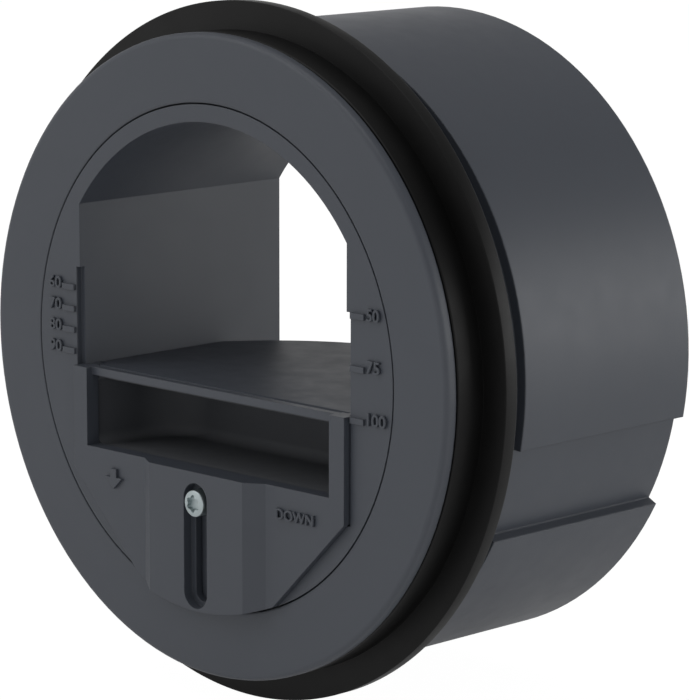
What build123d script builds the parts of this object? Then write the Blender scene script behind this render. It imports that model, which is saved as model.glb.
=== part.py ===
# Constant airflow regulator for a 125 mm round duct, one STEP file for each piece.
# X points right and Z up for someone facing the front, Y runs back along the duct.
import os
from math import cos, radians, sin

from build123d import *

# Driving sizes, in millimetres and degrees
# Duct sleeve
body_radius = 60.0  # raised shells, which enter the duct
shell_rise = 2.0  # raised shells above the recess floors
sleeve_wall = 2.0
sleeve_length = 63.0
shoulder_depth = 18.75  # front face to the front edge of the raised shells
recess_top_angle = 10.6  # below the horizontal, on the raised shells' radius
recess_bottom_angle = 28.0
recess_top_lean = 0.2  # the floor's upper corner lies this much further round
ring_rise = 1.0  # front ring above the recess floors
ring_thickness = 2.25
ring_chamfer = 0.9  # front ring's outer edge, in three flats
collar_wall = 3.0
collar_length = 12.0

# Lip seal
seat_drop = 1.0  # seal seat below the recess floors
seal_gap = 0.5  # front ring to seal
seal_width = 10.2
seal_lip_reach = 4.25  # lip beyond the raised shells
seal_lip_setback = 0.95  # lip's root to the band's rear edge
seal_lip_thickness = 2.9
seal_lip_root = 2.9
seal_fillet = 0.6  # band to lip, in three flats

# Regulator core
arch_radius = 43.0
core_wall = 2.0
core_flange_lip = 1.2  # front flange beyond the core's tube
core_flange_thickness = 2.5
core_length = 52.0
passage_half_width = 35.0
guide_lip = 1.0  # width of the slider's guide beside the passage
guide_depth = 1.2
guide_head_room = 1.5  # above the slider at its upper stop
snap_rise = 0.7
snap_width = 1.7
snap_half_angle = 12.0
screw_post_radius = 3.6
screw_post_length = 11.5
mark_height = 1.1
mark_rise = 0.55
mark_length = 3.3
mark_gap = 0.3  # guide edge to the marks
right_marks = {50: 18.6, 75: 9.3, 100: 0.1}  # reading to its height above the lowest setting
left_marks = {60: 15.1, 70: 11.0, 80: 7.0, 90: 3.0}

# Slider
flap_level = -5.5  # top of the slider and the flap at the lowest setting
plate_rise = 1.3  # slider plate in front of the face
post_width = 3.7
lintel_height = 1.5
lintel_depth = 0.1
backing_depth = 1.6
inlet_height = 13.3
plate_skirt = 4.45  # inlet's lower edge to the cut corners
corner_cut_angle = 45.0
boss_rise = 3.55
boss_half_width = 12.35
boss_foot_half_width = 16.0
slot_width = 6.1
slot_ledge_rise = 1.6
slot_inner_width = 3.8
slot_head_room = 0.65  # above the screw at the lowest setting
slot_end_wall = 0.5  # slot to the slider's round lower edge

# Bladder, tray and flap
bladder_wall = 0.5
bladder_length = 18.0
bladder_taper = 3.3  # each side, from the mouth to the back
bladder_corner = 9.0
rim_lap = 1.5  # bladder rim beyond its mouth
tray_wall = 1.4
flap_thickness = 1.3
flap_close_angle = 60.0  # where the flap would meet the arch all round
hinge_pin_radius = 0.35
barrel_wall = 0.3

# Clamp screw
screw_drop = 3.15  # below the passage's sill
screw_radius = 1.45
screw_head_radius = 2.45
screw_head_height = 2.7
screw_head_edge = 2.25
screw_length = 12.0
drive_radius = 1.4
drive_depth = 1.3

# Clearances
core_gap = 0.3  # core flange in the front ring
fit_gap = 0.25  # core tube in the collar
seal_fit = 0.05
slide_gap = 0.15  # slider on the face and in its guide's depth
side_gap = 0.3  # slider in its guide's width
sill_gap = 0.4  # tray over the sill and between the passage walls
soft_gap = 0.3  # bladder to its neighbours
hinge_gap = 0.3  # flap to the pieces it turns beside
ear_gap = 0.75  # behind each ear, where the flap's corner swings past
pin_fit = 0.05
post_fit = 0.05
stop_gap = 0.2  # screw to the ends of its slot
head_gap = 0.02

# Radii and depths worked out from the sizes above
floor_radius = body_radius - shell_rise
ring_radius = floor_radius + ring_rise
seat_radius = floor_radius - seat_drop
seat_end = ring_thickness + seal_gap + seal_width + seal_gap
seal_lip_radius = body_radius + seal_lip_reach
seal_lip_depth = ring_thickness + seal_gap + seal_width - seal_lip_setback - seal_lip_root
sleeve_inner_radius = floor_radius - sleeve_wall
seat_inner_radius = seat_radius - sleeve_wall
tube_radius = arch_radius + core_wall
core_flange_radius = tube_radius + core_flange_lip
ring_bore_radius = core_flange_radius + core_gap
collar_inner_radius = tube_radius + fit_gap
collar_outer_radius = collar_inner_radius + collar_wall
guide_half_width = passage_half_width + guide_lip
plate_half_width = guide_half_width - side_gap
inlet_half_width = plate_half_width - post_width
tray_half_width = passage_half_width - sill_gap
tongue_depth = guide_depth - slide_gap
rim_depth = backing_depth + bladder_wall
barrel_radius = hinge_pin_radius + barrel_wall
tray_reach = arch_radius - sill_gap  # tray's corners clear of the arch below
hinge_depth = rim_depth + hinge_gap + barrel_radius
bladder_end = rim_depth + bladder_length
tray_end = bladder_end + soft_gap + tray_wall

# Levels worked out from the top of the slider downwards
lintel_level = flap_level - lintel_height
inlet_level = lintel_level - inlet_height
corner_level = inlet_level - plate_skirt
bladder_floor = inlet_level - bladder_wall
tray_floor = bladder_floor - soft_gap
tray_bottom = tray_floor - tray_wall
sill_level = tray_bottom - sill_gap
screw_level = sill_level - screw_drop
hinge_level = flap_level - barrel_radius
bladder_top = flap_level - max(flap_thickness, 2 * barrel_radius) - hinge_gap
slider_travel = core_flange_radius - slot_end_wall - screw_head_radius - stop_gap + screw_level
guide_top = flap_level + slider_travel + guide_head_room
guide_bottom = corner_level - side_gap

# The origin is on the duct axis, level with the front edge of the raised shells
front_y = -shoulder_depth
tray_bore_half = tray_half_width - tray_wall  # half width inside the tray
bladder_half_width = tray_bore_half - soft_gap
ear_end = hinge_depth + barrel_radius + hinge_gap


def facing(depth):
    """Plane seen from the front, at a depth behind the front face."""
    return Plane.XZ.offset(-(front_y + depth))


def polar(radius, angle):
    """Point of a front view at a radius and an angle above the horizontal."""
    return (radius * cos(radians(angle)), radius * sin(radians(angle)))


def beyond(start, end, share):
    """Point on the line from start through end, past the end by a share of its length."""
    return tuple(b + (b - a) * share for a, b in zip(start, end))


def recess_outline(side):
    """Corners of one recess between the raised shells, running past both of its radii."""
    top_out = polar(body_radius, -recess_top_angle)
    top_in = polar(floor_radius, -recess_top_angle - recess_top_lean)
    bottom_out = polar(body_radius, -recess_bottom_angle)
    bottom_in = polar(floor_radius, -recess_bottom_angle)
    corners = [
        beyond(top_out, top_in, 1.5),
        beyond(top_in, top_out, 1.0),
        beyond(bottom_in, bottom_out, 1.0),
        beyond(bottom_out, bottom_in, 1.5),
    ]
    return [(side * x, z) for x, z in corners]


def bar(x_low, x_high, z_low, z_high):
    """Rectangle of a front-view sketch, given by its four edges."""
    with Locations(((x_low + x_high) / 2, (z_low + z_high) / 2)):
        Rectangle(x_high - x_low, z_high - z_low)


def cut_bar(x_low, x_high, z_low, z_high):
    """The same rectangle, taken out of the sketch."""
    with Locations(((x_low + x_high) / 2, (z_low + z_high) / 2)):
        Rectangle(x_high - x_low, z_high - z_low, mode=Mode.SUBTRACT)


# Duct sleeve: front ring, seal seat, body and the collar that holds the core
with BuildPart() as duct_sleeve:
    with BuildSketch(Plane.XY):
        with BuildLine():
            edge_centre = (ring_radius - ring_chamfer, front_y + ring_chamfer)
            edge_turns = [polar(ring_chamfer, turn) for turn in (-90, -60, -30, 0)]
            ring_edge = [(edge_centre[0] + x, edge_centre[1] + y) for x, y in edge_turns]
            Polyline(
                (ring_bore_radius, front_y),
                *ring_edge,
                (ring_radius, front_y + ring_thickness),
                (seat_radius, front_y + ring_thickness),
                (seat_radius, front_y + seat_end),
                (floor_radius, front_y + seat_end),
                (floor_radius, front_y + sleeve_length),
                (sleeve_inner_radius, front_y + sleeve_length),
                (sleeve_inner_radius, front_y + seat_end + sleeve_wall),
                (seat_inner_radius, front_y + seat_end + sleeve_wall),
                (seat_inner_radius, front_y + ring_thickness),
                (collar_outer_radius, front_y + ring_thickness),
                (collar_outer_radius, front_y + collar_length),
                (collar_inner_radius, front_y + collar_length),
                (collar_inner_radius, front_y + core_flange_thickness),
                (ring_bore_radius, front_y + core_flange_thickness),
                close=True,
            )
        make_face()
    revolve(axis=Axis.Y)
    with BuildSketch(facing(shoulder_depth)):
        Circle(body_radius)
        Circle(floor_radius - sleeve_wall / 2, mode=Mode.SUBTRACT)
        for side in (1, -1):
            with BuildLine():
                Polyline(*recess_outline(side), close=True)
            make_face(mode=Mode.SUBTRACT)
    extrude(amount=-(sleeve_length - shoulder_depth))
    with BuildSketch(facing(shoulder_depth + sleeve_wall)):
        Circle(floor_radius)
        Circle(sleeve_inner_radius - sleeve_wall / 2, mode=Mode.SUBTRACT)
        for side in (1, -1):
            with BuildSketch(mode=Mode.SUBTRACT):
                with BuildLine():
                    Polyline(*recess_outline(side), close=True)
                make_face()
                offset(amount=sleeve_wall)
    extrude(amount=-(sleeve_length - shoulder_depth - sleeve_wall), mode=Mode.SUBTRACT)
duct_sleeve.part.label = "duct_sleeve"

# Lip seal: a band on the seat behind the ring, with one lip that bears in the duct
with BuildPart() as lip_seal:
    seal_front = front_y + ring_thickness + seal_gap
    lip_front = front_y + seal_lip_depth
    with BuildSketch(Plane.XY):
        with BuildLine():
            fillet_centre = (ring_radius + seal_fillet, lip_front - seal_fillet)
            turns = [polar(seal_fillet, turn) for turn in (180, 150, 120, 90)]
            flats = [(fillet_centre[0] + x, fillet_centre[1] + y) for x, y in turns]
            Polyline(
                *flats,
                (seal_lip_radius, lip_front),
                (seal_lip_radius, lip_front + seal_lip_thickness),
                (ring_radius, lip_front + seal_lip_root),
                (ring_radius, seal_front + seal_width),
                (seat_radius + seal_fit, seal_front + seal_width),
                (seat_radius + seal_fit, seal_front),
                (ring_radius, seal_front),
                close=True,
            )
        make_face()
    revolve(axis=Axis.Y)
lip_seal.part.label = "lip_seal"

# Regulator core: face, arched air passage, slider guide, screw post and scale marks
with BuildPart() as regulator_core:
    with BuildSketch(facing(0)):
        Circle(core_flange_radius)
    extrude(amount=-core_flange_thickness)
    with BuildSketch(facing(0)):
        Circle(tube_radius)
        tube_width = 2 * (passage_half_width + core_wall)
        Rectangle(tube_width, 2 * tube_radius, mode=Mode.INTERSECT)
    extrude(amount=-core_length)
    with BuildSketch(facing(core_flange_thickness)):
        Circle(arch_radius)
        Rectangle(2 * passage_half_width, 2 * arch_radius, mode=Mode.INTERSECT)
    extrude(amount=-(core_length - core_flange_thickness), mode=Mode.SUBTRACT)
    with BuildSketch(facing(0)):
        Circle(arch_radius)
        Rectangle(2 * passage_half_width, 2 * arch_radius, mode=Mode.INTERSECT)
        cut_bar(-arch_radius, arch_radius, -arch_radius, sill_level)
    extrude(amount=-core_flange_thickness, mode=Mode.SUBTRACT)
    with BuildSketch(facing(0)):
        bar(-guide_half_width, guide_half_width, guide_bottom, guide_top)
    extrude(amount=-guide_depth, mode=Mode.SUBTRACT)
    with BuildSketch(facing(core_flange_thickness)):
        with Locations((0, screw_level)):
            Circle(screw_post_radius)
        cut_bar(-screw_post_radius, screw_post_radius, sill_level, sill_level + screw_post_radius)
    extrude(amount=-screw_post_length)
    with BuildSketch(facing(0)):
        with Locations((0, screw_level)):
            Circle(screw_radius + post_fit)
    extrude(amount=-(core_flange_thickness + screw_post_length), mode=Mode.SUBTRACT)
    with BuildSketch(facing(collar_length + fit_gap)):
        for middle in (90, -90):
            with BuildLine():
                inner = [polar(tube_radius - core_wall / 2, middle + a * snap_half_angle) for a in (-1, 0, 1)]
                outer = [polar(tube_radius + snap_rise, middle + a * snap_half_angle) for a in (1, 0, -1)]
                ThreePointArc(*inner)
                Line(inner[-1], outer[0])
                ThreePointArc(*outer)
                Line(outer[-1], inner[0])
            make_face()
    extrude(amount=-snap_width)
    with BuildSketch(facing(0)):
        mark_start = guide_half_width + mark_gap
        for height in right_marks.values():
            top = flap_level + height
            bar(mark_start, mark_start + mark_length, top - mark_height, top)
        for height in left_marks.values():
            top = flap_level + height
            bar(-mark_start - mark_length, -mark_start, top - mark_height, top)
    extrude(amount=mark_rise)
regulator_core.part.label = "regulator_core"

# Slider: front plate with the inlet, the lintel over it and the slotted boss under it
with BuildPart() as slider:
    cut_reach = 4 * core_flange_radius
    with BuildSketch(facing(-plate_rise)):
        bar(-plate_half_width, plate_half_width, -core_flange_radius, flap_level)
        Circle(core_flange_radius, mode=Mode.INTERSECT)
        for side in (1, -1):
            turn = side * corner_cut_angle
            with Locations((side * plate_half_width, corner_level)):
                Rectangle(cut_reach, cut_reach, turn, align=(Align.CENTER, Align.MAX), mode=Mode.SUBTRACT)
    extrude(amount=-(plate_rise - slide_gap))
    with BuildSketch(facing(-slide_gap)):
        bar(-plate_half_width, plate_half_width, corner_level, flap_level)
        Circle(core_flange_radius - side_gap, mode=Mode.INTERSECT)
    extrude(amount=-(slide_gap + tongue_depth))
    with BuildSketch(facing(tongue_depth)):
        bar(-tray_half_width, tray_half_width, tray_bottom, flap_level)
        Circle(tray_reach, mode=Mode.INTERSECT)
    extrude(amount=-(backing_depth - tongue_depth))
    with BuildSketch(facing(-plate_rise)):
        bar(-inlet_half_width, inlet_half_width, inlet_level, flap_level)
    extrude(amount=-(plate_rise + backing_depth), mode=Mode.SUBTRACT)
    with BuildSketch(facing(lintel_depth)):
        bar(-inlet_half_width, inlet_half_width, lintel_level, flap_level)
    extrude(amount=-(backing_depth - lintel_depth))
    with BuildSketch(facing(backing_depth)):
        for side in (1, -1):
            ends = sorted((side * inlet_half_width, side * tray_half_width))
            bar(*ends, bladder_top + soft_gap, flap_level)
    extrude(amount=-bladder_wall)
    with BuildSketch(Plane.XY.offset(inlet_level)):
        with BuildLine():
            Polyline(
                (-boss_foot_half_width, front_y - plate_rise),
                (-boss_half_width, front_y - boss_rise),
                (boss_half_width, front_y - boss_rise),
                (boss_foot_half_width, front_y - plate_rise),
                (boss_foot_half_width, front_y - slide_gap),
                (-boss_foot_half_width, front_y - slide_gap),
                close=True,
            )
        make_face()
    extrude(amount=-(core_flange_radius + inlet_level))
    with BuildSketch(facing(-boss_rise)):
        Rectangle(cut_reach, cut_reach)
        Circle(core_flange_radius, mode=Mode.SUBTRACT)
    extrude(amount=-(boss_rise - slide_gap), mode=Mode.SUBTRACT)
    slots = [
        (boss_rise, slot_ledge_rise, slot_width, screw_head_radius),
        (slot_ledge_rise, -tongue_depth, slot_inner_width, screw_radius),
    ]
    for front_rise, back_rise, width, guest_radius in slots:
        slot_top = screw_level + slot_head_room
        slot_end = screw_level - slider_travel - stop_gap + width / 2 - guest_radius
        with BuildSketch(facing(-front_rise)):
            with Locations((0, (slot_top + slot_end) / 2)):
                SlotCenterToCenter(slot_top - slot_end, width, rotation=90)
        extrude(amount=-(front_rise - back_rise), mode=Mode.SUBTRACT)
slider.part.label = "slider"

# Bladder tray: the box behind the slider, with the two ears that hold the hinge pin
with BuildPart() as bladder_tray:
    with BuildSketch(facing(rim_depth)):
        bar(-tray_half_width, tray_half_width, tray_bottom, bladder_top)
        Circle(tray_reach, mode=Mode.INTERSECT)
    extrude(amount=-(tray_end - rim_depth))
    with BuildSketch(facing(rim_depth)):
        bar(-tray_bore_half, tray_bore_half, tray_floor, bladder_top)
        Circle(tray_reach - tray_wall, mode=Mode.INTERSECT)
    extrude(amount=-(bladder_length + soft_gap), mode=Mode.SUBTRACT)
    with BuildSketch(facing(rim_depth)):
        for side in (1, -1):
            ends = sorted((side * tray_bore_half, side * tray_half_width))
            bar(*ends, bladder_top, flap_level)
    extrude(amount=-(ear_end - rim_depth))
    with BuildSketch(Plane.YZ.offset(-tray_half_width)):
        with Locations((front_y + hinge_depth, hinge_level)):
            Circle(hinge_pin_radius + head_gap)
    extrude(amount=2 * tray_half_width, mode=Mode.SUBTRACT)
bladder_tray.part.label = "bladder_tray"


def bladder_form(inset, front):
    """Solid of the bladder's bag, drawn in by a wall's thickness and open from a given depth."""
    half_mouth = bladder_half_width - inset
    half_back = half_mouth - bladder_taper
    back = front_y + bladder_end - inset
    low = bladder_floor + inset
    high = bladder_top - inset
    with BuildPart() as bag:
        with BuildSketch(Plane.XY.offset(low)) as plan:
            with BuildLine():
                Polyline(
                    (-half_mouth, front_y + front),
                    (-half_mouth, front_y + rim_depth),
                    (-half_back, back),
                    (half_back, back),
                    (half_mouth, front_y + rim_depth),
                    (half_mouth, front_y + front),
                    close=True,
                )
            make_face()
            fillet(plan.vertices().group_by(Axis.Y)[-1], bladder_corner - inset)
        extrude(amount=high - low)
        with BuildSketch(facing(front)):
            Circle(tray_reach - tray_wall - soft_gap - inset)
        extrude(amount=-bladder_end, mode=Mode.INTERSECT)
    return bag.part


# Bladder: the soft bag that the inlet fills, held by its rim between slider and tray
bag_outside = bladder_form(0, backing_depth)
bag_inside = bladder_form(bladder_wall, 0)
with BuildPart() as bladder:
    with BuildSketch(facing(backing_depth)):
        rim_half = bladder_half_width + rim_lap
        rim_top = bladder_top - soft_gap
        bar(-rim_half, rim_half, tray_bottom + soft_gap, rim_top)
        Circle(tray_reach - soft_gap, mode=Mode.INTERSECT)
        top_half = inlet_half_width - soft_gap
        bar(-top_half, top_half, rim_top, flap_level - soft_gap)
    extrude(amount=-bladder_wall)
    add(bag_outside)
    add(bag_inside, mode=Mode.SUBTRACT)
bladder.part.label = "bladder"

# Flap: the tongue over the bladder, cut so that it would close the arch at its end angle
with BuildPart() as flap:
    flap_half_width = passage_half_width - sill_gap
    flap_reach = arch_radius / sin(radians(flap_close_angle))
    flap_centre = front_y - flap_level / sin(radians(flap_close_angle))
    with BuildSketch(Plane.XY.offset(flap_level)):
        with Locations((0, flap_centre)):
            Ellipse(arch_radius, flap_reach)
        with Locations((0, front_y + hinge_depth)):
            Rectangle(2 * flap_half_width, 4 * flap_reach, mode=Mode.INTERSECT)
        with Locations((0, front_y + hinge_depth)):
            Rectangle(4 * flap_reach, 4 * flap_reach, align=(Align.CENTER, Align.MAX), mode=Mode.SUBTRACT)
        for side in (1, -1):
            notch = 2 * flap_half_width
            ear_side = side * (tray_bore_half - hinge_gap + notch / 2)
            with Locations((ear_side, front_y + ear_end + ear_gap)):
                Rectangle(notch, notch, align=(Align.CENTER, Align.MAX), mode=Mode.SUBTRACT)
    extrude(amount=-flap_thickness)
    barrel_half = tray_bore_half - hinge_gap
    with BuildSketch(Plane.YZ.offset(-barrel_half)):
        with Locations((front_y + hinge_depth, hinge_level)):
            Circle(barrel_radius)
    extrude(amount=2 * barrel_half)
    with BuildSketch(Plane.YZ.offset(-barrel_half)):
        with Locations((front_y + hinge_depth, hinge_level)):
            Circle(hinge_pin_radius + pin_fit)
    extrude(amount=2 * barrel_half, mode=Mode.SUBTRACT)
flap.part.label = "flap"

# Hinge pin: the rod through the flap's barrel and the tray's ears
with BuildPart() as hinge_pin:
    with BuildSketch(Plane.YZ.offset(-tray_half_width)):
        with Locations((front_y + hinge_depth, hinge_level)):
            Circle(hinge_pin_radius)
    extrude(amount=2 * tray_half_width)
hinge_pin.part.label = "hinge_pin"

# Clamp screw: pan head on the slot's ledge, six-lobed drive, shank in the core's post
with BuildPart() as clamp_screw:
    head_seat = front_y - slot_ledge_rise - head_gap
    head_rim = head_seat - screw_head_edge
    head_top = head_seat - screw_head_height
    with BuildSketch(Plane.XY.offset(screw_level)):
        with BuildLine():
            crown = (0, head_top)
            rim = (screw_head_radius, head_rim)
            shank_end = front_y + screw_length
            Polyline(
                rim,
                (screw_head_radius, head_seat),
                (screw_radius, head_seat),
                (screw_radius, shank_end),
                (0, shank_end),
                crown,
            )
            TangentArc(crown, rim, tangent=(1, 0))
        make_face()
    revolve(axis=Axis((0, 0, screw_level), (0, 1, 0)))
    with BuildSketch(Plane.XZ.offset(-head_top)):
        with Locations((0, screw_level)):
            Circle(drive_radius * 0.78)
            with PolarLocations(drive_radius * 0.78, 6):
                Circle(drive_radius * 0.22)
    extrude(amount=-drive_depth, mode=Mode.SUBTRACT)
clamp_screw.part.label = "clamp_screw"

os.makedirs("parts", exist_ok=True)
pieces = (
    duct_sleeve,
    lip_seal,
    regulator_core,
    slider,
    bladder_tray,
    bladder,
    flap,
    hinge_pin,
    clamp_screw,
)
for piece in pieces:
    export_step(piece.part, f"parts/{piece.part.label}.step")
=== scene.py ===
import math

import bmesh
import bpy
from mathutils import Matrix, Vector


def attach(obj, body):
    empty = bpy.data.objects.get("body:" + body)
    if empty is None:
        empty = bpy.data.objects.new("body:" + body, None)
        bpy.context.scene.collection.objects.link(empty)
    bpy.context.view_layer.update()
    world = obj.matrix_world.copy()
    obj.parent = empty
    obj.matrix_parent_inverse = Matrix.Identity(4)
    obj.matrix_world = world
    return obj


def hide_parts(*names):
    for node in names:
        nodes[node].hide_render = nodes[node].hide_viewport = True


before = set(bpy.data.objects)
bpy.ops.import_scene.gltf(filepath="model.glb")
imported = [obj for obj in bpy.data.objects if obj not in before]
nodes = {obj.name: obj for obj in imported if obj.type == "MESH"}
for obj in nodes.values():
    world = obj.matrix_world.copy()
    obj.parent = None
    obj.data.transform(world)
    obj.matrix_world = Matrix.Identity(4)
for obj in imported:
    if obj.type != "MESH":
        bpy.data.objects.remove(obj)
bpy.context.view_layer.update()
scene = bpy.context.scene

# Sizes in metres, in the part's own frame: X right, Y back along the duct, Z up
MM = 0.001
FACE_Y = -18.75 * MM  # front face of the ring and the core
PLATE_Y = FACE_Y - 1.3 * MM  # front of the slider's plate
FLOOR_Z = -64.6 * MM

# Noise scales per metre, and the part of a noise's range that is used
TONE_SCALE, PATCH_SCALE, GRAIN_SCALE = 28.0, 190.0, 5200.0
STREAK_SCALE, BRUSH_SCALE = 420.0, 3600.0
NOISE_LOW, NOISE_HIGH = 0.3, 0.7
GRAIN_DEPTH, PATCH_DEPTH, BRUSH_DEPTH = 0.04 * MM, 0.1 * MM, 0.03 * MM
PATCH_SHARE = 0.12  # relief of the patches as a share of the grain's
# Painted light: upward part of a face's normal where the paler colour for light from above starts
# and where it is full
TOP_LIGHT_START, TOP_LIGHT_FULL = 0.1, 0.7  # upward part of a face's normal


def link(obj):
    """Puts a new object in the scene."""
    scene.collection.objects.link(obj)
    return obj


def mesh_object(name, bm):
    """Object made from a finished bmesh."""
    mesh = bpy.data.meshes.new(name)
    bm.to_mesh(mesh)
    bm.free()
    return link(bpy.data.objects.new(name, mesh))


# Materials

def shader(name):
    """New material with its node tree, its Principled shader and a helper that adds a node."""
    mat = bpy.data.materials.new(name)
    mat.use_nodes = True
    tree = mat.node_tree
    main = tree.nodes["Principled BSDF"]

    def add(kind, **values):
        node = tree.nodes.new(kind)
        for key, value in values.items():
            setattr(node, key, value)
        return node

    return mat, tree, main, add


def noise(tree, add, where, scale, detail, roughness=0.5):
    """Noise texture in the part's own coordinates."""
    node = add("ShaderNodeTexNoise")
    node.inputs["Scale"].default_value = scale
    node.inputs["Detail"].default_value = detail
    node.inputs["Roughness"].default_value = roughness
    tree.links.new(where, node.inputs["Vector"])
    return node.outputs["Fac"]


def ramp(tree, add, source, low, high):
    """Colour ramp between two colours, driven by a texture."""
    node = add("ShaderNodeValToRGB")
    first, last = node.color_ramp.elements
    first.position, last.position = NOISE_LOW, NOISE_HIGH
    first.color, last.color = (*low, 1.0), (*high, 1.0)
    tree.links.new(source, node.inputs["Fac"])
    return node.outputs["Color"]


def spread(tree, add, source, low, high):
    """Texture value mapped to a range."""
    node = add("ShaderNodeMapRange")
    node.inputs["From Min"].default_value = NOISE_LOW
    node.inputs["From Max"].default_value = NOISE_HIGH
    node.inputs["To Min"].default_value = low
    node.inputs["To Max"].default_value = high
    tree.links.new(source, node.inputs["Value"])
    return node.outputs["Result"]


def relief(tree, add, heights, edge=0.0):
    """Bump made of several textures, over edges rounded by a small radius."""
    normal = None
    if edge:
        rounded = add("ShaderNodeBevel", samples=4)
        rounded.inputs["Radius"].default_value = edge
        normal = rounded.outputs["Normal"]
    for source, strength, distance in heights:
        node = add("ShaderNodeBump")
        node.inputs["Strength"].default_value = strength
        node.inputs["Distance"].default_value = distance
        tree.links.new(source, node.inputs["Height"])
        if normal is not None:
            tree.links.new(normal, node.inputs["Normal"])
        normal = node.outputs["Normal"]
    return normal


def moulded(name, colour, tint, roughness, grain, edge, specular=0.5):
    """Moulded plastic or rubber: fine grain, slow tone shifts and softly rounded edges."""
    mat, tree, main, add = shader(name)
    where = add("ShaderNodeTexCoord").outputs["Object"]
    slow = noise(tree, add, where, TONE_SCALE, 2.0)
    patch = noise(tree, add, where, PATCH_SCALE, 4.0, 0.6)
    fine = noise(tree, add, where, GRAIN_SCALE, 2.0)
    low = [c * (1.0 - tint) for c in colour]
    high = [c * (1.0 + tint) for c in colour]
    tree.links.new(ramp(tree, add, slow, low, high), main.inputs["Base Color"])
    tree.links.new(spread(tree, add, patch, *roughness), main.inputs["Roughness"])
    heights = [(fine, grain, GRAIN_DEPTH), (patch, grain * PATCH_SHARE, PATCH_DEPTH)]
    tree.links.new(relief(tree, add, heights, edge), main.inputs["Normal"])
    main.inputs["Specular IOR Level"].default_value = specular
    return mat


def dusted(mat, colour):
    """Painted light: a paler colour on the faces that look up, standing in for light that falls on
    them from above.
    """
    tree = mat.node_tree
    main = tree.nodes["Principled BSDF"]
    skin = main.inputs["Base Color"].links[0].from_socket
    up = tree.nodes.new("ShaderNodeSeparateXYZ")
    tree.links.new(tree.nodes.new("ShaderNodeTexCoord").outputs["Normal"], up.inputs[0])
    cover = tree.nodes.new("ShaderNodeMapRange")
    cover.inputs["From Min"].default_value = TOP_LIGHT_START
    cover.inputs["From Max"].default_value = TOP_LIGHT_FULL
    tree.links.new(up.outputs["Z"], cover.inputs["Value"])
    blend = tree.nodes.new("ShaderNodeMix")
    blend.data_type = "RGBA"
    below, top_light = [s for s in blend.inputs if s.type == "RGBA"]
    top_light.default_value = (*colour, 1.0)
    tree.links.new(skin, below)
    tree.links.new(cover.outputs["Result"], blend.inputs["Factor"])
    tree.links.new([s for s in blend.outputs if s.type == "RGBA"][0], main.inputs["Base Color"])


def metal(name, colour, tint, roughness, grain):
    """Plated or drawn steel: streaky tone and a fine uneven gloss."""
    mat, tree, main, add = shader(name)
    where = add("ShaderNodeTexCoord").outputs["Object"]
    slow = noise(tree, add, where, STREAK_SCALE, 3.0)
    fine = noise(tree, add, where, BRUSH_SCALE, 3.0)
    low = [c * (1.0 - tint) for c in colour]
    tree.links.new(ramp(tree, add, slow, low, colour), main.inputs["Base Color"])
    tree.links.new(spread(tree, add, fine, *roughness), main.inputs["Roughness"])
    tree.links.new(relief(tree, add, [(fine, grain, BRUSH_DEPTH)]), main.inputs["Normal"])
    main.inputs["Metallic"].default_value = 1.0
    return mat


# Colour, tone shift, roughness range, grain, edge radius and specular level of each
GREY = (0.048, 0.0545, 0.0685)
BLACK = (0.002, 0.002, 0.002)
BAG_GREY = (0.050, 0.053, 0.060)
# Paler colour painted on the bladder's upward faces as painted light from above
BAG_TOP_LIGHT = (0.076, 0.080, 0.087)
ZINC = (0.46, 0.52, 0.53)
STEEL = (0.50, 0.50, 0.52)
grey = moulded("grey_plastic", GREY, 0.025, (0.43, 0.48), 0.10, 0.22 * MM)
sleeve_grey = moulded("sleeve_plastic", GREY, 0.025, (0.43, 0.48), 0.10, 0.55 * MM)
flap_grey = moulded("flap_plastic", GREY, 0.03, (0.44, 0.52), 0.07, 0.15 * MM, 0.32)
rubber = moulded("black_rubber", BLACK, 0.15, (0.38, 0.46), 0.12, 0.0, 0.20)
silicone = moulded("bladder_silicone", BAG_GREY, 0.08, (0.52, 0.62), 0.10, 0.0, 0.3)
# Painted light: the bladder's faces that look up get a paler colour, as if lit from above
dusted(silicone, BAG_TOP_LIGHT)
zinc = metal("zinc_steel", ZINC, 0.12, (0.38, 0.50), 0.10)
pin_steel = metal("pin_steel", STEEL, 0.08, (0.22, 0.32), 0.08)

finishes = {
    "duct_sleeve": sleeve_grey,
    "lip_seal": rubber,
    "regulator_core": grey,
    "slider": grey,
    "bladder_tray": grey,
    "bladder": silicone,
    "flap": flap_grey,
    "hinge_pin": pin_steel,
    "clamp_screw": zinc,
}
for name, mat in finishes.items():
    slots = nodes[name].data.materials
    slots.clear()
    slots.append(mat)


# Lip seal: the rubber ring with soft edges

ROUND_STEPS, SEAL_STEPS = 4, 240  # round a corner and round the ring


def corner(before, point, after, radius, steps):
    """Points that round one corner of a profile."""
    p = Vector(point)
    a = (Vector(before) - p).normalized()
    b = (Vector(after) - p).normalized()
    half = a.angle(b) / 2
    reach = radius / math.tan(half)
    middle = p + (a + b).normalized() * (radius / math.sin(half))
    start = p + a * reach - middle
    end = p + b * reach - middle
    turn = start.angle_signed(end)
    points = []
    for i in range(steps + 1):
        s = math.sin(i / steps * abs(turn)) / math.sin(abs(turn))
        r = math.sin((1 - i / steps) * abs(turn)) / math.sin(abs(turn))
        points.append(middle + start * r + end * s)
    return points


def revolved(name, profile, count):
    """Closed ring about the duct axis, from a profile of radius and depth."""
    bm = bmesh.new()
    rings = []
    for i in range(count):
        angle = 2 * math.pi * i / count
        c, s = math.cos(angle), math.sin(angle)
        rings.append([bm.verts.new((r * c, y, r * s)) for r, y in profile])
    for i in range(count):
        a, b = rings[i], rings[(i + 1) % count]
        for j in range(len(profile)):
            k = (j + 1) % len(profile)
            bm.faces.new((a[j], a[k], b[k], b[j]))
    bmesh.ops.recalc_face_normals(bm, faces=bm.faces)
    for face in bm.faces:
        face.smooth = True
    return mesh_object(name, bm)


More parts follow.
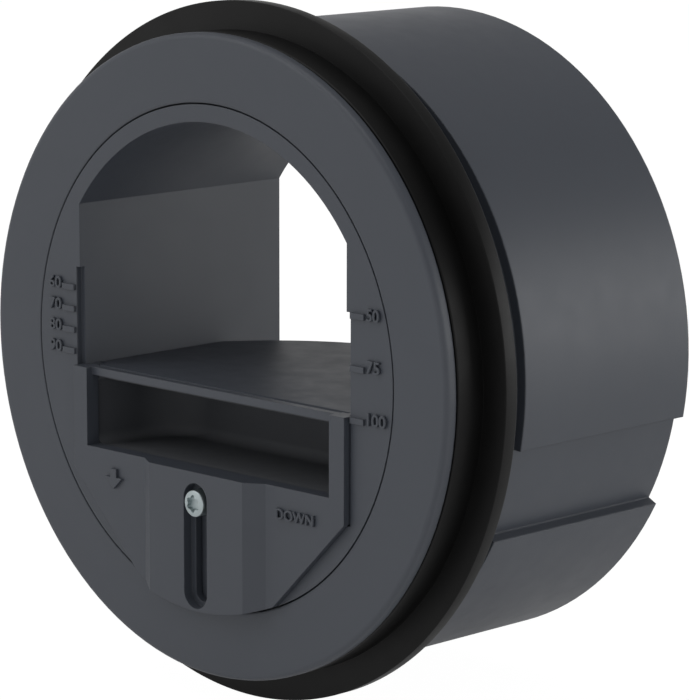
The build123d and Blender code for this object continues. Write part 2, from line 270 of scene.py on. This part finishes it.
seal_outline = [  # radius and depth behind the front face in mm, with the corner's rounding
    (59.0, 2.75, 0.35),
    (59.0, 9.1, 0.03),
    (64.25, 9.1, 0.15),
    (64.25, 12.0, 0.3),
    (59.0, 12.0, 0.25),
    (59.0, 12.95, 0.3),
    (57.05, 12.95, 0.1),
    (57.05, 2.75, 0.1),
]
seal_profile = []
for i, (r, d, rounding) in enumerate(seal_outline):
    r0, d0, _ = seal_outline[i - 1]
    r1, d1, _ = seal_outline[(i + 1) % len(seal_outline)]
    for point in corner((r0, d0), (r, d), (r1, d1), rounding, ROUND_STEPS):
        seal_profile.append((point.x * MM, FACE_Y + point.y * MM))
seal = revolved("lip_seal_rubber", seal_profile, SEAL_STEPS)
seal.data.materials.append(rubber)
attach(seal, "casing")
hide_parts("lip_seal")


# Bladder: one soft shell from the clamped rim to the rounded back, slack under the flap

RIM_FRONT, RIM_BACK, BAG_BACK = 1.6, 2.1, 20.1  # mm behind the front face
RIM_HALF, RIM_LOW, RIM_TOP = 34.35, -22.15, -7.45
TAB_HALF, TAB_TOP = 31.65, -5.85  # the rim's tongue behind the lintel
BAG_HALF, BAG_LOW, BAG_TOP = 32.85, -20.75, -7.15
BAG_TAPER, BAG_TURN, BAG_EDGE = 3.3, 9.0, 2.6
BAG_SAG, BAG_FOLD = 0.9, 0.22
FOLD_ACROSS, FOLD_ALONG = 0.55, 0.25  # radians per mm
RIM_CORNER = 0.8
BAG_RINGS = 28
SHARPEST_CORNER = 2.2  # section heights per corner radius
BAG_CREASE = math.radians(50)
SKIN = 0.45
LONG, SHORT, ROUND = 32, 8, 5  # steps along the floor, up a side and round a corner


def between(a, b, share):
    """Point on the line from a to b."""
    return (a[0] + (b[0] - a[0]) * share, a[1] + (b[1] - a[1]) * share)


def bag_loop(half, low, high, radius):
    """Rounded rectangle of a front view, from its lower left corner round to the right."""
    corners = [
        (half - radius, low + radius, -90),
        (half - radius, high - radius, 0),
        (-half + radius, high - radius, 90),
        (-half + radius, low + radius, 180),
    ]
    points = []
    for i, (x, z, start) in enumerate(corners):
        steps = LONG if i % 2 == 0 else SHORT
        arc = [math.radians(start + 90 * j / ROUND) for j in range(ROUND + 1)]
        turn = [(x + radius * math.cos(a), z + radius * math.sin(a)) for a in arc]
        before = points[-1] if points else (-half + radius, low)
        for j in range(1 if points else 0, steps):
            points.append(between(before, turn[0], j / steps))
        points += turn
    last, first = points[-1], points[0]
    for j in range(1, SHORT):
        points.append(between(last, first, j / SHORT))
    return points


def rim_loop():
    """Outline of the clamped rim, with as many points as the bag's sections."""
    points = []
    for x, z in bag_loop(RIM_HALF, RIM_LOW, TAB_TOP, RIM_CORNER):
        if z > RIM_TOP and abs(x) > TAB_HALF:
            if z > (RIM_TOP + TAB_TOP) / 2:
                x = math.copysign(TAB_HALF, x)
            else:
                z = RIM_TOP
        points.append((x, z))
    return points


def bag_section(depth, inset):
    """Section of the bag at a depth, drawn in by a skin's thickness."""
    back = BAG_BACK - inset
    turn, edge = BAG_TURN - inset, BAG_EDGE - inset
    along = (depth - RIM_BACK) / (BAG_BACK - RIM_BACK)
    half = BAG_HALF - inset - BAG_TAPER * max(along, 0.0)
    past_turn = max(depth - back + turn, 0.0)
    half -= turn - math.sqrt(max(turn * turn - past_turn * past_turn, 0.0))
    past_edge = max(depth - back + edge, 0.0)
    draw = edge - math.sqrt(max(edge * edge - past_edge * past_edge, 0.0))
    low, high = BAG_LOW + inset + draw, BAG_TOP - inset - draw
    points = []
    for x, z in bag_loop(half, low, high, min(edge, (high - low) / SHARPEST_CORNER)):
        lift = max((z - low) / (high - low) - 0.5, 0.0) * 2
        middle = 1 - (x / BAG_HALF) ** 2
        swell = math.sin(math.pi * min(max(along, 0.0), 1.0)) * lift * middle
        z -= swell * (BAG_SAG + BAG_FOLD * math.cos(x * FOLD_ACROSS + depth * FOLD_ALONG))
        points.append((x, z))
    return points


def ring_of(bm, points, depth):
    """Vertices of one section at its depth."""
    return [bm.verts.new((x * MM, FACE_Y + depth * MM, z * MM)) for x, z in points]


bm = bmesh.new()
depths = []
for i in range(BAG_RINGS + 1):
    share = math.sin(math.pi / 2 * i / BAG_RINGS)
    depths.append(RIM_BACK + (BAG_BACK - SKIN - RIM_BACK) * share)
outside = [ring_of(bm, rim_loop(), RIM_FRONT), ring_of(bm, rim_loop(), RIM_BACK)]
for depth in depths:
    outer = depth + SKIN * (depth - RIM_BACK) / (depths[-1] - RIM_BACK)
    outside.append(ring_of(bm, bag_section(outer, 0.0), outer))
inside = [ring_of(bm, bag_section(RIM_FRONT, SKIN), RIM_FRONT)]
inside += [ring_of(bm, bag_section(depth, SKIN), depth) for depth in depths]
skins = outside[::-1] + inside
for a, b in zip(skins, skins[1:]):
    for i in range(len(a)):
        j = (i + 1) % len(a)
        bm.faces.new((a[i], a[j], b[j], b[i]))
bm.faces.new(outside[-1])
bm.faces.new(inside[-1])
bmesh.ops.recalc_face_normals(bm, faces=bm.faces)
for face in bm.faces:
    face.smooth = True
bag = mesh_object("bladder_bag", bm)
bag.data.set_sharp_from_angle(angle=BAG_CREASE)
bag.data.materials.append(silicone)
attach(bag, "slider")
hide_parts("bladder")


# Clamp screw: domed head with a shallow six-lobed drive, and a plain shank

SCREW_Z = -26.05  # mm above the duct axis
HEAD_TOP, HEAD_SEAT, SHANK_END = -4.32, -1.62, 12.0  # mm behind the front face
HEAD_RADIUS, HEAD_SAG, HEAD_SOFT, SHANK_RADIUS = 2.45, 0.45, 0.22, 1.45
DRIVE_RADIUS, DRIVE_LOBE, DRIVE_DEPTH, DRIVE_DRAFT = 1.46, 0.22, 0.95, 0.08
DRIVE_LOBES, DRIVE_TURN = 6, math.radians(30)
SCREW_STEPS, HEAD_STEPS, EDGE_STEPS = 96, 3, 4  # round the screw, across its head and round its edge
SCREW_CREASE = math.radians(40)


def head_front(r):
    """Depth of the head's front at a distance from its middle."""
    return HEAD_TOP + HEAD_SAG * (r / HEAD_RADIUS) ** 2


bm = bmesh.new()
screw_rings = []
for i in range(SCREW_STEPS):
    angle = 2 * math.pi * i / SCREW_STEPS
    drive = DRIVE_RADIUS + DRIVE_LOBE * math.cos(DRIVE_LOBES * (angle - DRIVE_TURN))
    flat = HEAD_RADIUS - HEAD_SOFT
    profile = [(drive - DRIVE_DRAFT, HEAD_TOP + DRIVE_DEPTH), (drive, head_front(drive))]
    for j in range(1, HEAD_STEPS + 1):
        r = drive + (flat - drive) * j / HEAD_STEPS
        profile.append((r, head_front(r)))
    for j in range(1, EDGE_STEPS + 1):
        turn = math.pi / 2 * j / EDGE_STEPS
        r = flat + HEAD_SOFT * math.sin(turn)
        profile.append((r, head_front(flat) + HEAD_SOFT * (1 - math.cos(turn))))
    profile += [(HEAD_RADIUS, HEAD_SEAT), (SHANK_RADIUS, HEAD_SEAT), (SHANK_RADIUS, SHANK_END)]
    c, s = math.cos(angle), math.sin(angle)
    screw_rings.append([
        bm.verts.new((r * c * MM, FACE_Y + d * MM, (SCREW_Z + r * s) * MM)) for r, d in profile
    ])
for i, a in enumerate(screw_rings):
    b = screw_rings[(i + 1) % SCREW_STEPS]
    for j in range(len(a) - 1):
        bm.faces.new((a[j], a[j + 1], b[j + 1], b[j]))
bm.faces.new([ring[0] for ring in screw_rings])
bm.faces.new([ring[-1] for ring in screw_rings])
bmesh.ops.recalc_face_normals(bm, faces=bm.faces)
for face in bm.faces:
    face.smooth = True
screw = mesh_object("clamp_screw_zinc", bm)
screw.data.set_sharp_from_angle(angle=SCREW_CREASE)
screw.data.materials.append(zinc)
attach(screw, "screw")
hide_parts("clamp_screw")


# Raised figures and signs

FIGURE_RISE = 0.6 * MM
SINK = 0.05 * MM  # how far they stand in the face behind them
FIGURE_HEIGHT = 2.25
FLAP_TOP = -5.5
STROKE = 0.012  # widening of the strokes, in character heights
CURVE_STEPS = 4
WELD = 1e-7


def raised_text(name, text, left, right, low, high, front, rise, body):
    """Raised characters that fill a box of the front view, standing on a face at a given depth."""
    curve = bpy.data.curves.new(name, "FONT")
    curve.body = text
    curve.size = 1.0
    curve.extrude = 0.05
    curve.resolution_u = CURVE_STEPS
    curve.offset = STROKE
    draft = link(bpy.data.objects.new(name + "_draft", curve))
    bpy.context.view_layer.update()
    graph = bpy.context.evaluated_depsgraph_get()
    mesh = bpy.data.meshes.new_from_object(draft.evaluated_get(graph))
    bpy.data.objects.remove(draft)
    bpy.data.curves.remove(curve)
    xs = [v.co.x for v in mesh.vertices]
    ys = [v.co.y for v in mesh.vertices]
    zs = [v.co.z for v in mesh.vertices]
    wide = (right - left) / (max(xs) - min(xs))
    tall = (high - low) / (max(ys) - min(ys))
    deep = rise / (max(zs) - min(zs))
    for v in mesh.vertices:
        x = left + (v.co.x - min(xs)) * wide
        z = low + (v.co.y - min(ys)) * tall
        y = front - (v.co.z - min(zs)) * deep
        v.co = (x * MM, y, z * MM)
    mesh.name = name
    obj = link(bpy.data.objects.new(name, mesh))
    obj.data.materials.clear()
    obj.data.materials.append(grey)
    bm = bmesh.new()
    bm.from_mesh(mesh)
    bmesh.ops.remove_doubles(bm, verts=bm.verts, dist=WELD)
    bmesh.ops.recalc_face_normals(bm, faces=bm.faces)
    bm.to_mesh(mesh)
    bm.free()
    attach(obj, body)


figures = {  # reading to its left and right edges and its middle above the lowest setting
    60: (-43.35, -40.0, 15.1),
    70: (-43.35, -40.0, 11.0),
    80: (-43.35, -40.0, 7.0),
    90: (-43.35, -40.0, 3.0),
    50: (40.25, 43.2, 18.58),
    75: (40.25, 43.35, 9.48),
    100: (40.45, 44.9, 0.25),
}
for figure, (left, right, rise) in figures.items():
    low = FLAP_TOP + rise - FIGURE_HEIGHT / 2
    high = low + FIGURE_HEIGHT
    name = f"figure_{figure}"
    raised_text(name, str(figure), left, right, low, high, FACE_Y + SINK, FIGURE_RISE, "casing")
raised_text("sign_down", "DOWN", 19.1, 28.5, -26.1, -24.1, PLATE_Y + SINK, FIGURE_RISE, "slider")

arrow_outline = [  # one plain arrow that points down, in mm across and up
    (-25.0, -23.6),
    (-25.0, -25.2),
    (-26.5, -25.2),
    (-24.2, -27.4),
    (-21.9, -25.2),
    (-23.4, -25.2),
    (-23.4, -23.6),
]
bm = bmesh.new()
back = [bm.verts.new((x * MM, PLATE_Y + SINK, z * MM)) for x, z in arrow_outline]
front = [bm.verts.new((x * MM, PLATE_Y + SINK - FIGURE_RISE, z * MM)) for x, z in arrow_outline]
bm.faces.new(front)
bm.faces.new(back[::-1])
for i in range(len(back)):
    j = (i + 1) % len(back)
    bm.faces.new((back[i], back[j], front[j], front[i]))
bmesh.ops.recalc_face_normals(bm, faces=bm.faces)
arrow = mesh_object("sign_arrow", bm)
arrow.data.materials.append(grey)
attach(arrow, "slider")


# Floor, light and camera

FLOOR_RADIUS = 4.0
FLOOR_PALE, FLOOR_PALER = (0.84, 0.84, 0.84), (0.88, 0.88, 0.88)
FLOOR_GLOW = 1.06  # level of its white for the camera and in reflections
GLOW_SEEN, GLOW_MIRRORED = 0.93, 0.31  # shares of that white
SKY_LEVELS = (  # upward part of the direction, and grey level
    (0.0, 1.0),
    (0.16, 0.95),
    (0.38, 0.41),
    (0.60, 0.23),
    (0.80, 0.36),
    (1.0, 0.9),
)


def floor_material():
    """White floor that keeps a faint shadow."""
    mat, tree, main, add = shader("floor_white")
    where = add("ShaderNodeTexCoord").outputs["Object"]
    cloud = noise(tree, add, where, 3.0, 2.0)
    tree.links.new(ramp(tree, add, cloud, FLOOR_PALE, FLOOR_PALER), main.inputs["Base Color"])
    main.inputs["Roughness"].default_value = 0.9
    rays = add("ShaderNodeLightPath")
    gloss = add("ShaderNodeMath", operation="MULTIPLY")
    gloss.inputs[1].default_value = GLOW_MIRRORED
    tree.links.new(rays.outputs["Is Glossy Ray"], gloss.inputs[0])
    part = add("ShaderNodeMath", operation="MULTIPLY_ADD")
    part.inputs[1].default_value = GLOW_SEEN
    tree.links.new(rays.outputs["Is Camera Ray"], part.inputs[0])
    tree.links.new(gloss.outputs[0], part.inputs[2])
    white = add("ShaderNodeEmission")
    white.inputs["Strength"].default_value = FLOOR_GLOW
    mix = add("ShaderNodeMixShader")
    tree.links.new(part.outputs[0], mix.inputs["Fac"])
    tree.links.new(main.outputs[0], mix.inputs[1])
    tree.links.new(white.outputs[0], mix.inputs[2])
    tree.links.new(mix.outputs[0], tree.nodes["Material Output"].inputs["Surface"])
    return mat


bm = bmesh.new()
bmesh.ops.create_circle(bm, cap_ends=True, segments=64, radius=FLOOR_RADIUS)
floor = mesh_object("floor", bm)
floor.location.z = FLOOR_Z
floor.data.materials.append(floor_material())

world = bpy.data.worlds.new("studio")
scene.world = world
world.use_nodes = True
sky = world.node_tree
background = sky.nodes["Background"]
rays = sky.nodes.new("ShaderNodeLightPath")
seen = sky.nodes.new("ShaderNodeMath")
seen.operation = "MAXIMUM"
sky.links.new(rays.outputs["Is Camera Ray"], seen.inputs[0])
sky.links.new(rays.outputs["Is Transmission Ray"], seen.inputs[1])
direction = sky.nodes.new("ShaderNodeTexCoord")
split = sky.nodes.new("ShaderNodeSeparateXYZ")
sky.links.new(direction.outputs["Generated"], split.inputs[0])
dome = sky.nodes.new("ShaderNodeValToRGB")
stops = dome.color_ramp.elements
for stop, (place, level) in zip(stops, (SKY_LEVELS[0], SKY_LEVELS[-1])):
    stop.position = place
    stop.color = (level, level, level, 1.0)
for place, level in SKY_LEVELS[1:-1]:
    stops.new(place).color = (level, level, level, 1.0)
sky.links.new(split.outputs["Z"], dome.inputs["Fac"])
mix = sky.nodes.new("ShaderNodeMix")
mix.data_type = "RGBA"
lit, backdrop = [s for s in mix.inputs if s.type == "RGBA"]
backdrop.default_value = (1.0, 1.0, 1.0, 1.0)
sky.links.new(dome.outputs["Color"], lit)
sky.links.new(seen.outputs[0], mix.inputs["Factor"])
sky.links.new([s for s in mix.outputs if s.type == "RGBA"][0], background.inputs["Color"])
background.inputs["Strength"].default_value = 1.0


def softbox(name, place, target, size, power):
    """Square area lamp turned to a point."""
    lamp = bpy.data.lights.new(name, "AREA")
    lamp.size = size
    lamp.energy = power
    obj = link(bpy.data.objects.new(name, lamp))
    obj.location = place
    obj.rotation_euler = (Vector(target) - Vector(place)).to_track_quat("-Z", "Y").to_euler()


softbox("key_right", (0.75, 0.70, 0.0), (0.05, 0.0, 0.0), 0.7, 2.9)
softbox("front_high", (-0.95, -1.15, 1.15), (0.0, 0.0, 0.0), 1.0, 7.1)
softbox("top_fill", (0.1, -0.1, 1.0), (0.0, 0.0, 0.0), 0.7, 1.2)

# Camera fitted to the photo: its direction, place and lens
LENS, SENSOR = 186.19, 36.0
CAMERA_PLACE = Vector((0.47002, -0.45888, 0.11782))
SHIFT_LEFT, SHIFT_UP = 0.083 * MM, 0.115 * MM  # last trim of the fit
AZIMUTH, ELEVATION, ROLL = math.radians(44.69), math.radians(10.23), math.radians(0.11)
back = Vector((
    math.sin(AZIMUTH) * math.cos(ELEVATION),
    -math.cos(AZIMUTH) * math.cos(ELEVATION),
    math.sin(ELEVATION),
))
level = Vector((math.cos(AZIMUTH), math.sin(AZIMUTH), 0.0))
upright = back.cross(level)
right = level * math.cos(ROLL) + upright * math.sin(ROLL)
up = upright * math.cos(ROLL) - level * math.sin(ROLL)
place = CAMERA_PLACE - right * SHIFT_LEFT + up * SHIFT_UP
view = bpy.data.cameras.new("photo_view")
view.lens = LENS
view.sensor_width = SENSOR
view.sensor_fit = "AUTO"
view.clip_start = 0.01
camera = link(bpy.data.objects.new("photo_view", view))
camera.matrix_world = Matrix((
    (right.x, up.x, back.x, place.x),
    (right.y, up.y, back.y, place.y),
    (right.z, up.z, back.z, place.z),
    (0.0, 0.0, 0.0, 1.0),
))
scene.camera = camera
scene.view_settings.view_transform = "Standard"
